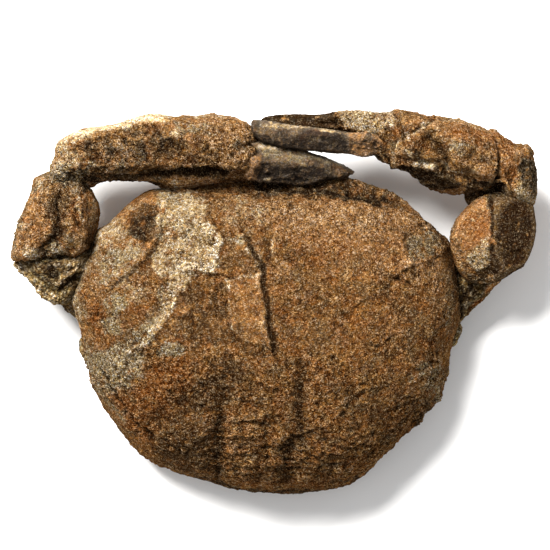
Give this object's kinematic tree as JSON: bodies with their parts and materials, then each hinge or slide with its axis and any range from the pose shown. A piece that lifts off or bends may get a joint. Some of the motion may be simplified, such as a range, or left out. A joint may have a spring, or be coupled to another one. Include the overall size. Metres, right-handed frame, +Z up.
{
  "type": "fossil crab",
  "caption": "Fossil crab lying on its underside, with a broad domed carapace and two heavy claws folded across its front.",
  "frame": {"origin": "middle of the footprint, on the surface that the fossil rests on", "axes": "+Z up, away from the surface; +Y to the crab's front, where the claws lie; +X across it to the end of its right claw arm as seen from above with the front at the top"},
  "size_m": [0.1754, 0.1281, 0.0486],
  "materials": {
    "carapace": "rough sandy fossil shell, brown with grey and cream matrix and orange iron stains",
    "arm_shell": "rough brown fossil shell with sandy matrix",
    "claw_shell": "dark brown fossil shell, partly under tan sandstone",
    "finger_shell": "near-black fossil shell with a slight sheen",
    "crusty_matrix": "crusty grey-brown matrix"
  },
  "bodies": {
    "root": {"carapace": "carapace", "left_ischium": "crusty_matrix", "left_merus": "crusty_matrix", "left_carpus": "arm_shell", "left_palm": "claw_shell", "left_movable_finger": "finger_shell", "right_ischium": "crusty_matrix", "right_merus": "arm_shell", "right_carpus": "arm_shell", "right_palm": "claw_shell", "right_movable_finger": "finger_shell", "left_leg_stump": "crusty_matrix", "right_leg_stump": "crusty_matrix"}
  },
  "joints": []
}
